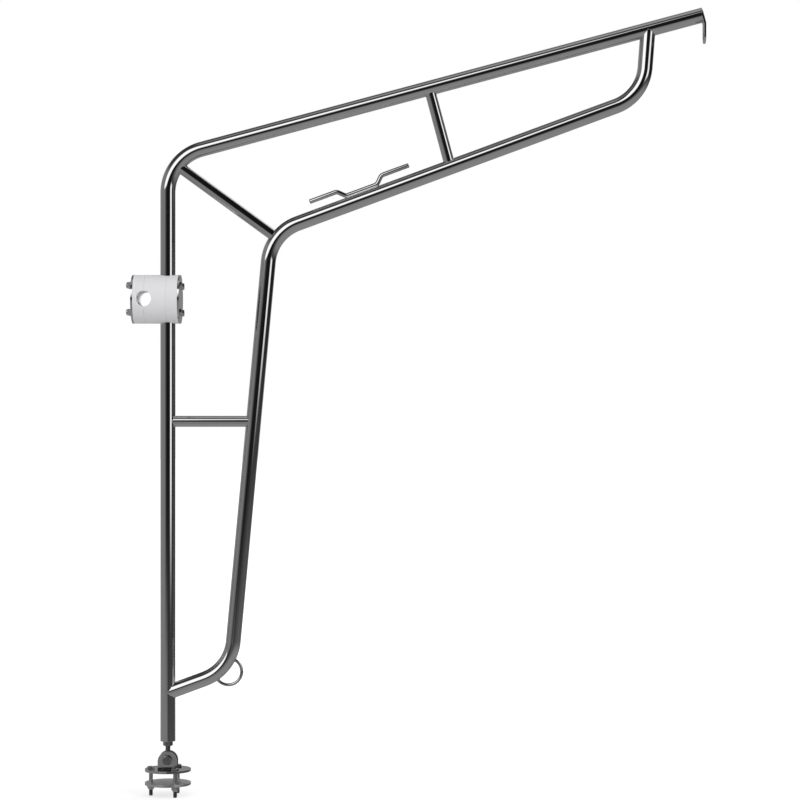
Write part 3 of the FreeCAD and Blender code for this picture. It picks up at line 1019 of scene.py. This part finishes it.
@dataclass(frozen=True)
class Hexagon:
    """Sizes of one thread's fasteners, and the shapes made from them."""

    thread: float
    shank: float
    pitch: float
    across_flats: float
    head: float
    nut: float
    washer_radius: float
    washer: float
    bevel_slope: float = tan(radians(30))
    top_share: float = 0.475
    hex_share: float = 0.7
    collar_share: float = 0.45
    thread_depth_share: float = 0.07
    insert_share: float = 0.8
    grip_share: float = 0.9
    washer_clearance: float = 0.00025
    washer_ease_share: float = 0.2
    dome_steps: int = 6
    columns: int = 48
    rows_per_turn: int = 6

    def flats(self, height: Callable[[float], float]) -> list[Vector]:
        """Makes a hexagonal ring whose height follows its radius, with corners along X.

        Args:
            height: gives the height at a radius.

        Returns:
            The ring's points.
        """
        ring = []
        for turn in full_turn(self.columns):
            aside = (turn + pi / 6) % (pi / 3) - pi / 6
            radius = self.across_flats / 2 / cos(pi / 6 - abs(aside))
            ring.append(polar(radius, turn, height(radius)))
        return ring

    def ring(self, radius: float, height: float) -> list[Vector]:
        """Returns a round ring."""
        return circle(radius, height, self.columns)

    def bevel(self, face: float, sense: int) -> list[list[Vector]]:
        """Makes the bevelled edge of a hexagon's face.

        Args:
            face: height of the face.
            sense: 1 for a face on top and -1 for one below.

        Returns:
            The edge's two rings, lower one first.
        """
        flat = self.across_flats * self.top_share
        corners = self.flats(lambda radius: face - sense * (radius - flat) * self.bevel_slope)
        return [corners, self.ring(flat, face)][::sense]

    def thread_rings(self, radius: float, low: float, high: float) -> list[list[Vector]]:
        """Cuts a screw thread.

        Args:
            radius: radius over the thread's crests.
            low: height of its lower end.
            high: height of its upper end.

        Returns:
            Its rings, from the lower end up.
        """
        depth = self.thread * self.thread_depth_share
        rows = round((high - low) / self.pitch * self.rows_per_turn)
        rings = []
        for row in range(rows + 1):
            height = low + (high - low) * row / rows
            fade = min(1.0, (height - low) / self.pitch, (high - height) / self.pitch)
            ring = []
            for turn in full_turn(self.columns):
                crest = (1 + cos(2 * pi * height / self.pitch - turn)) / 2
                ring.append(polar(radius - depth * (1 - crest * fade), turn, height))
            rings.append(ring)
        return rings

    def bolt(self, length: float, thread_length: float) -> Mesh:
        """Makes a bolt whose head stands on the origin and whose shank hangs below it.

        Args:
            length: length under the head.
            thread_length: length of the thread at the far end.

        Returns:
            The bolt's mesh, with its thread marked.
        """
        bevel = self.pitch / 2
        root = self.shank - self.thread * self.thread_depth_share
        thread = self.thread_rings(self.shank, bevel - length, thread_length - length)
        rings = [
            self.ring(root - bevel, -length),
            *thread,
            self.ring(self.shank, thread_length - length + bevel),
            self.ring(self.shank, 0),
            *self.bevel(0, -1),
            *self.bevel(self.head, 1),
        ]
        return skinned(rings, closed=False, marked_rows=range(len(thread) + 1))

    def lock_nut(self) -> Mesh:
        """Makes a lock nut that stands on the origin.

        Returns:
            The nut's mesh, with its plastic insert marked.
        """
        bore = self.thread / 2
        grip = bore * self.grip_share
        step = self.nut * self.hex_share
        collar = self.across_flats * self.collar_share
        lip = collar * self.insert_share
        dome_height = (self.nut - step) / 2
        insert_top = self.nut - dome_height / 2
        dome = []
        for arc in range(self.dome_steps + 1):
            turn = radians(90 * arc / self.dome_steps)
            dome.append(self.ring(lip + (collar - lip) * cos(turn), self.nut - dome_height * (1 - sin(turn))))
        shell = [self.ring(bore, 0), *self.bevel(0, -1), *self.bevel(step, 1), self.ring(collar, step), *dome]
        insert = [self.ring(lip, insert_top), self.ring(grip, insert_top), self.ring(grip, step)]
        insert_rows = range(len(shell), len(shell) + len(insert) - 1)
        return skinned([*shell, *insert, self.ring(bore, step)], closed=True, marked_rows=insert_rows)

    def plain_nut(self, height: float) -> Mesh:
        """Makes a plain hexagon nut that stands on the origin.

        Args:
            height: the nut's height.

        Returns:
            The nut's mesh.
        """
        bore = self.thread / 2
        rings = [self.ring(bore, 0), *self.bevel(0, -1), *self.bevel(height, 1), self.ring(bore, height)]
        return skinned(rings, closed=True)

    def flat_washer(self, thickness: float) -> Mesh:
        """Makes a flat washer that stands on the origin.

        Args:
            thickness: the washer's thickness.

        Returns:
            The washer's mesh.
        """
        bore = self.thread / 2 + self.washer_clearance
        ease = thickness * self.washer_ease_share
        rim = self.washer_radius
        outline = [
            (bore, 0), (rim - ease, 0), (rim, ease),
            (rim, thickness - ease), (rim - ease, thickness), (bore, thickness),
        ]
        return skinned([self.ring(radius, height) for radius, height in outline], closed=True)


M8 = Hexagon(
    thread=0.008, shank=0.00395, pitch=0.00125, across_flats=0.013, head=0.0044, nut=0.008,
    washer_radius=0.008, washer=0.0016,
)
M10 = Hexagon(
    thread=0.01, shank=0.005, pitch=0.0015, across_flats=0.017, head=0.0064, nut=0.01,
    washer_radius=0.01, washer=0.002,
)


class Facing(Enum):
    """Turns that stand a fastener, drawn along +Z, on another axis."""

    UP = (0.0, 0.0, 0.0)
    DOWN = (pi, 0.0, 0.0)
    BOOM = (pi / 2, pi / 3, pi / 2)
    RAIL = (-pi / 2, -pi / 3, pi / 2)
    FRONT = (pi / 2, 0.0, 0.0)
    REAR = (-pi / 2, 0.0, 0.0)


@dataclass
class FastenerSet:
    """Copies of one fastener, with the finish of its marked faces and of the rest."""

    name: str
    node: str
    shape: Mesh
    spots: Sequence[Vector]
    facing: Facing
    material: Material = FASTENER
    marked: Material = THREAD_PAINTED_SHADE
    slot: Slot = Slot.FASTENER

    def build(self, body: Body) -> Object:
        """Sets the copies as one finished piece.

        Args:
            body: the body that they move with.

        Returns:
            The piece.
        """
        master = linked("master", self.shape)
        seed = line_mesh([[spot] for spot in self.spots])
        finishes = {"material": self.material, "marked_material": self.marked}
        mesh = grown(FASTENERS, seed, fastener=master, turn=self.facing.value, **finishes)
        bpy.data.objects.remove(master)
        return placed(self.name, mesh, body, self.slot, self.node)


PLASTIC_RING: dict[str, Any] = {"material": BEARING_PLASTIC, "slot": Slot.BEARING}


@dataclass
class DeckFoot:
    """Plates that grip the deck, the fork on them and their fasteners."""

    plate: float = 0.005
    deck_gap: float = 0.022
    bolt_circle: float = 0.034
    bolt_count: int = 3
    bolt_length: float = 0.054
    bolt_thread: float = 0.022
    ear_thickness: float = 0.006
    fork_gap: float = 0.018
    pivot_height: float = 0.024
    pivot_length: float = 0.045
    pivot_thread: float = 0.015
    spacer: float = 0.002
    ease: float = 0.0002

    def bolt_spots(self, height: float) -> list[Vector]:
        """Returns the places of the deck bolts at a height, the first on the rail's side."""
        return [polar(self.bolt_circle, pi + turn, height) for turn in full_turn(self.bolt_count)]

    def deck_fasteners(self) -> list[FastenerSet]:
        """Lists the deck bolts, washers and nuts.

        Returns:
            The three sets.
        """
        under = -self.deck_gap - self.plate
        bolt = M8.bolt(self.bolt_length, self.bolt_thread)
        washer = M8.flat_washer(M8.washer)
        nut = M8.lock_nut()
        heads = self.bolt_spots(self.plate)
        nuts = self.bolt_spots(under - M8.washer)
        return [
            FastenerSet("deck_bolt_set", "deck_bolts", bolt, heads, Facing.UP, DULL_FASTENER),
            FastenerSet("deck_washer_set", "deck_washers", washer, self.bolt_spots(under), Facing.DOWN),
            FastenerSet("deck_nut_set", "deck_nuts", nut, nuts, Facing.DOWN, SATIN_STEEL, BEARING_PLASTIC),
        ]

    def pivot(self) -> list[FastenerSet]:
        """Lists the pivot bolt, its nut, washers and spacers.

        Returns:
            The four sets.
        """
        axis = UP * self.pivot_height
        gap = self.fork_gap / 2
        ear_face = gap + self.ear_thickness
        seat = ear_face + M10.washer
        bolt = M10.bolt(self.pivot_length, self.pivot_thread)
        nut = M10.lock_nut()
        washer = M10.flat_washer(M10.washer)
        washers = [axis - REAR * seat, axis + REAR * ear_face]
        spacer = M10.flat_washer(self.spacer)
        spacers = [axis - REAR * gap, axis + REAR * (gap - self.spacer)]
        return [
            FastenerSet("pivot_bolt_m10", "pivot_bolt", bolt, [axis - REAR * seat], Facing.FRONT, FORGING),
            FastenerSet(
                "pivot_nut_m10", "pivot_nut", nut, [axis + REAR * seat], Facing.REAR, marked=BEARING_PLASTIC
            ),
            FastenerSet("pivot_washer_pair", "pivot_washers", washer, washers, Facing.REAR),
            FastenerSet("pivot_spacer_pair", "pivot_spacers", spacer, spacers, Facing.REAR, **PLASTIC_RING),
        ]

    def build(self) -> list[Object]:
        """Builds the foot.

        Returns:
            The pieces.
        """
        pieces = []
        for name, node, finish in (
            ("upper_plate", "deck_plate", POLISHED_PLATE),
            ("lower_plate", "backing_plate", SATIN_STEEL),
            ("front_fork_ear", "front_ear", SATIN_PLATE),
            ("rear_fork_ear", "rear_ear", SATIN_PLATE),
        ):
            pieces.append(copied(name, node, Body.BASE, Slot.FITTING, finish, self.ease))
        fasteners = [*self.deck_fasteners(), *self.pivot()]
        return [*pieces, *(fastener.build(Body.BASE) for fastener in fasteners)]


@dataclass
class TiltingEyebolt:
    """Eyebolt in the fork, the nut and washer that carry the mast, and those that keep it down."""

    mast_foot: float
    plug_height: float = 0.025
    side_clearance: float = 0.0001
    thrust: float = 0.001
    collar_height: float = 0.0084
    neck_low: float = 0.038
    neck_crest: float = 0.0051
    ease: float = 0.0004

    def fasteners(self, collar_seat: float) -> list[FastenerSet]:
        """Lists the nuts and washers on the eyebolt's shank.

        Args:
            collar_seat: height at which the collar nut stands.

        Returns:
            The four sets, from the lowest up.
        """
        collar = M10.plain_nut(self.collar_height)
        ring = M10.flat_washer(self.thrust)
        washer = M10.flat_washer(M10.washer)
        nut = M10.lock_nut()
        ring_seat = collar_seat + self.collar_height
        washer_seat = self.mast_foot + self.plug_height + self.side_clearance
        nut_seat = washer_seat + M10.washer
        return [
            FastenerSet("collar_nut_m10", "collar_nut", collar, [UP * collar_seat], Facing.UP, FORGING),
            FastenerSet("thrust_ring", "thrust_washer", ring, [UP * ring_seat], Facing.UP, **PLASTIC_RING),
            FastenerSet("retaining_washer_m10", "retaining_washer", washer, [UP * washer_seat], Facing.UP),
            FastenerSet(
                "retaining_nut_m10", "retaining_nut", nut, [UP * nut_seat], Facing.UP, marked=BEARING_PLASTIC
            ),
        ]

    def build(self) -> list[Object]:
        """Builds the eyebolt and its nuts and washers.

        Returns:
            The pieces.
        """
        collar_seat = self.mast_foot - self.side_clearance - self.thrust - self.collar_height
        neck = skinned(M10.thread_rings(self.neck_crest, self.neck_low, collar_seat), closed=False)
        return [
            copied("eyebolt_forging", "eyebolt", Body.EYEBOLT, Slot.FASTENER, FORGING, self.ease),
            # The neck's thread takes the dark finish, whose colour is painted shade.
            placed("eyebolt_thread", neck, Body.EYEBOLT, Slot.FASTENER, material=THREAD_PAINTED_SHADE),
            *(fastener.build(Body.EYEBOLT) for fastener in self.fasteners(collar_seat)),
        ]


@dataclass
class CrossClamp:
    """White plastic clamp between two stainless discs, bolted through."""

    height: float = 0.943
    rail_x: float = -0.0445
    rail_bore: float = 0.0155
    mast_end: float = 0.022
    rail_end: float = -0.0665
    disc: float = 0.004
    bolt_spread: float = 0.0535
    bolt_thread: float = 0.022
    bolt_tail: float = 0.0006
    ease: float = 0.0001

    def bolt_spots(self, x: float) -> list[Vector]:
        """Returns the places of the four bolts in the plane at x."""
        half = self.bolt_spread / 2
        return [Vector((x, side * half, self.height + level * half)) for side in (-1, 1) for level in (-1, 1)]

    def bored(self, mesh: Mesh) -> Mesh:
        """Gives a plastic piece its finish, with a paler, matt copy of it in the rail's bore whose lighter
        colour is painted light against the bore's shade.

        Args:
            mesh: the piece's mesh.

        Returns:
            The same mesh.
        """
        mesh.materials.clear()
        mesh.materials.append(WHITE_PLASTIC)
        mesh.materials.append(BORE_PAINTED_LIGHT_PLASTIC)
        for face in mesh.polygons:
            away = face.center - Vector((self.rail_x, face.center.y, self.height))
            # Faces inside the rail's bore take the paler copy, painted lighter than their shade.
            face.material_index = int(away.length < self.rail_bore + self.ease)
        return mesh

    def fasteners(self) -> list[FastenerSet]:
        """Lists the clamp's bolts, washers and nuts.

        Returns:
            The three sets.
        """
        head_seat = self.mast_end + self.disc
        washer_seat = self.rail_end - self.disc
        nut_seat = washer_seat - M8.washer
        bolt = M8.bolt(head_seat - nut_seat + M8.nut + self.bolt_tail, self.bolt_thread)
        washer = M8.flat_washer(M8.washer)
        nut = M8.lock_nut()
        washers = self.bolt_spots(washer_seat)
        nuts = self.bolt_spots(nut_seat)
        return [
            FastenerSet("clamp_bolt_set", "clamp_bolts", bolt, self.bolt_spots(head_seat), Facing.BOOM),
            FastenerSet("clamp_washer_set", "clamp_washers", washer, washers, Facing.RAIL),
            FastenerSet("clamp_nut_set", "clamp_nuts", nut, nuts, Facing.RAIL, SATIN_STEEL, BEARING_PLASTIC),
        ]

    def build(self) -> list[Object]:
        """Builds the clamp.

        Returns:
            The pieces.
        """
        pieces = []
        for node in ("clamp_rail_cap", "clamp_middle_block", "clamp_mast_cap"):
            mesh = self.bored(softened(node, self.ease))
            pieces.append(placed(f"{node}_plastic", mesh, Body.CLAMP, Slot.PLASTIC, node))
        for node in ("clamp_rail_disc", "clamp_mast_disc"):
            pieces.append(copied(f"{node}_steel", node, Body.CLAMP, Slot.FITTING, POLISHED_PLATE))
        return [*pieces, *(fastener.build(Body.CLAMP) for fastener in self.fasteners())]


@dataclass(frozen=True)
class StudioWindow:
    """One soft light that the polished steel reflects, in degrees as seen from the part."""

    centre: float
    half_width: float
    low: float
    high: float
    side_edge: float
    level_edge: float
    slant: float
    level: float


@dataclass(frozen=True)
class StudioLamp:
    """One square lamp that only matt surfaces see, in degrees, metres and watts."""

    name: str
    azimuth: float
    elevation: float
    distance: float
    size: float
    power: float


@dataclass
class Studio:
    """Camera, floor, lamps and the tent that the polished steel reflects."""

    camera_spot: Triple = (0.46414, -4.9, 0.74168)
    lens: float = 110.25
    sensor: float = 36.0
    middle: Triple = (0.46, 0.0, 0.75)
    tent_radius: float = 30.0
    tent_subdivisions: int = 4
    floor_half: float = 28.0
    floor_glow: float = 0.67
    shadow_reach: float = 0.4
    glow_reach: float = 3.0
    floor_bounce: float = 0.25
    floor_colour: float = 0.45
    ambient: float = 0.5
    floor_fade: tuple[float, float] = (-25.5, -1.0)
    ceiling_fade: tuple[float, float] = (36.0, 54.0)
    # Each window and lamp gives its values in the order of the fields.
    windows: tuple[StudioWindow, ...] = (
        StudioWindow(-38.5, 35.5, -60.0, -6.5, 4.0, 3.0, 0.0, 0.28),
        StudioWindow(-168.0, 28.0, 31.0, 64.0, 8.0, 6.0, 0.0, 0.13),
        StudioWindow(-108.0, 46.0, 30.0, 64.0, 12.0, 6.0, 0.0, 0.05),
        StudioWindow(45.0, 32.0, 30.0, 76.0, 12.0, 8.0, 0.0, 0.01),
        StudioWindow(147.0, 29.0, 22.0, 60.0, 24.0, 9.0, 0.0, 1.15),
        StudioWindow(-33.8, 21.2, 8.5, 47.0, 6.0, 1.2, 0.3, 1.65),
        StudioWindow(49.8, 12.8, -4.0, 42.0, 4.0, 2.5, 0.3, 1.35),
    )
    lamps: tuple[StudioLamp, ...] = (
        StudioLamp("left_lamp", -37.0, 26.0, 4.5, 3.0, 26.0),
        StudioLamp("right_lamp", 50.0, 21.0, 4.5, 2.5, 70.0),
        StudioLamp("back_lamp", 145.0, 6.0, 4.5, 2.5, 110.0),
        StudioLamp("top_lamp", 0.0, 66.0, 4.0, 3.0, 20.0),
    )
    ring_stops: Stops = (
        (-180, 0.25), (-144, 0.38), (-110, 0.28), (-50, 0.27), (-36, 0.17), (-24, 0.045), (-12, 0.012),
        (28, 0.012), (80, 0.022), (100, 0.01), (110, 0.01), (122, 0.022), (134, 0.085), (146, 0.22),
        (154, 0.29), (180, 0.25),
    )
    floor_stops: Stops = ((-90, 0.36), (-24, 0.31))
    ceiling_stops: Stops = (
        (50, 0.1), (56, 0.1), (61, 0.035), (64, 0.06), (68, 0.17), (73, 0.31), (84, 0.52),
    )

    def camera(self) -> None:
        """Adds the camera, level and square to the frame's plane."""
        data = bpy.data.cameras.new("camera")
        data.lens = self.lens
        data.sensor_width = self.sensor
        data.clip_end = 2 * self.tent_radius
        camera = linked("camera", data)
        camera.location = self.camera_spot
        camera.rotation_euler = (pi / 2, 0, 0)
        bpy.context.scene.camera = camera

    def background_share(self, graph: Graph) -> NodeSocket:
        """Adds the mask of the rays that see the white background.

        Args:
            graph: the world's or the floor's graph.

        Returns:
            The mask's socket.
        """
        path = graph.add("ShaderNodeLightPath")
        rays = [path.outputs[f"Is {kind} Ray"] for kind in ("Camera", "Glossy", "Transmission")]
        return graph.math("MAXIMUM", graph.math("MAXIMUM", rays[0], rays[1]), rays[2])

    def world(self) -> None:
        """Makes the world white to the eye and an even fill light to the rest."""
        world = bpy.data.worlds.new("studio")
        bpy.context.scene.world = world
        graph = shading(world)
        strength = graph.math("MULTIPLY_ADD", self.background_share(graph), 1 - self.ambient, self.ambient)
        back = graph.out("ShaderNodeBackground", {"Color": grey(1), "Strength": strength})
        graph.add("ShaderNodeOutputWorld", {"Surface": back})

    def floor(self) -> None:
        """Lays the pale floor, which keeps the part's shadow."""
        corners = [(x * self.floor_half, y * self.floor_half, CAD_BOX[0][2]) for x, y in SQUARE]
        mesh = bpy.data.meshes.new("floor")
        mesh.from_pydata(corners, [], [(0, 1, 2, 3)])
        material = bpy.data.materials.new("pale_floor")
        graph = shading(material)
        matt = graph.out("ShaderNodeBsdfDiffuse", {"Color": grey(self.floor_colour)})
        away = graph.add("ShaderNodeVectorMath", {0: graph.place()}, operation="LENGTH").outputs["Value"]
        levels = (self.floor_glow - self.floor_bounce, 1 - self.floor_bounce)
        glow = graph.fade(away, self.shadow_reach, self.glow_reach, levels)
        strength = graph.math("MULTIPLY_ADD", self.background_share(graph), glow, self.floor_bounce)
        light = graph.out("ShaderNodeEmission", {"Strength": strength})
        both = graph.out("ShaderNodeAddShader", {0: matt, 1: light})
        graph.add("ShaderNodeOutputMaterial", {"Surface": both})
        mesh.materials.append(material)
        floor = linked("floor", mesh)
        floor.visible_glossy = False

    def tent_material(self) -> Material:
        """Builds the tent's glow from its windows and grey cards.

        Returns:
            The tent's material.
        """
        material = bpy.data.materials.new("studio_tent")
        graph = shading(material)
        way = graph.out("ShaderNodeVectorMath", {0: graph.place()}, operation="NORMALIZE")
        axes = graph.add("ShaderNodeSeparateXYZ", {0: way}).outputs
        away = graph.math("MULTIPLY", axes["Y"], -1.0)
        azimuth = graph.math("DEGREES", graph.math("ARCTAN2", axes["X"], away))
        elevation = graph.math("DEGREES", graph.math("ARCSINE", axes["Z"]))
        ring = graph.ramp(azimuth, 360, self.ring_stops)
        floor = graph.ramp(elevation, 180, self.floor_stops)
        ceiling = graph.ramp(elevation, 180, self.ceiling_stops)
        light = graph.mix(graph.fade(elevation, *self.floor_fade), floor, ring)
        light = graph.mix(graph.fade(elevation, *self.ceiling_fade), light, ceiling)
        for window in self.windows:
            sizes = {name.replace("_", " ").capitalize(): size for name, size in asdict(window).items()}
            glow = grey(sizes.pop("Level"))
            inputs = {"Azimuth": azimuth, "Elevation": elevation, **sizes}
            light = graph.mix(graph.out("ShaderNodeGroup", inputs, node_tree=STUDIO_WINDOW), light, glow)
        shine = graph.out("ShaderNodeEmission", {"Color": light})
        graph.add("ShaderNodeOutputMaterial", {"Surface": shine})
        return material

    def tent(self) -> None:
        """Hangs the tent, which only reflections see."""
        shape = bmesh.new()
        bmesh.ops.create_icosphere(shape, subdivisions=self.tent_subdivisions, radius=self.tent_radius)
        bmesh.ops.reverse_faces(shape, faces=shape.faces)
        mesh = bpy.data.meshes.new("tent")
        shape.to_mesh(mesh)
        shape.free()
        mesh.materials.append(self.tent_material())
        tent = linked("tent", mesh)
        tent.location = self.middle
        for rays in ("camera", "diffuse", "transmission", "volume_scatter", "shadow"):
            setattr(tent, f"visible_{rays}", False)

    def light(self, lamp: StudioLamp) -> None:
        """Hangs one lamp.

        Args:
            lamp: its place and strength, with the azimuth from the camera's side and positive to the right.
        """
        data = bpy.data.lights.new(lamp.name, "AREA")
        data.size = lamp.size
        data.energy = lamp.power
        obj = linked(lamp.name, data)
        azimuth = radians(lamp.azimuth)
        elevation = radians(lamp.elevation)
        level = cos(elevation)
        way = Vector((sin(azimuth) * level, -cos(azimuth) * level, sin(elevation)))
        obj.location = Vector(self.middle) + way * lamp.distance
        obj.rotation_euler = way.to_track_quat("Z", "Y").to_euler()
        obj.visible_glossy = False

    def build(self) -> None:
        """Sets up the studio."""
        self.camera()
        self.world()
        self.floor()
        self.tent()
        for lamp in self.lamps:
            self.light(lamp)
        bpy.context.scene.view_settings.view_transform = "Standard"


def write_sizes() -> None:
    """Updates the view layer; nothing is written."""
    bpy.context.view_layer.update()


def main() -> None:
    """Builds the studio and the part's sub-assemblies, in order."""
    logging.basicConfig(level=logging.INFO, format="%(name)s: %(message)s")
    Studio().build()
    tubes = TubeFrame()
    eyebolt = TiltingEyebolt(tubes.mast_foot)
    for assembly in (tubes, RopeFittings(tubes), eyebolt, DeckFoot(), CrossClamp()):
        for piece in assembly.build():
            LOG.info("%s: %s, %d faces", type(assembly).__name__, piece.name, len(piece.data.polygons))
    write_sizes()


if __name__ == "__main__":
    main()
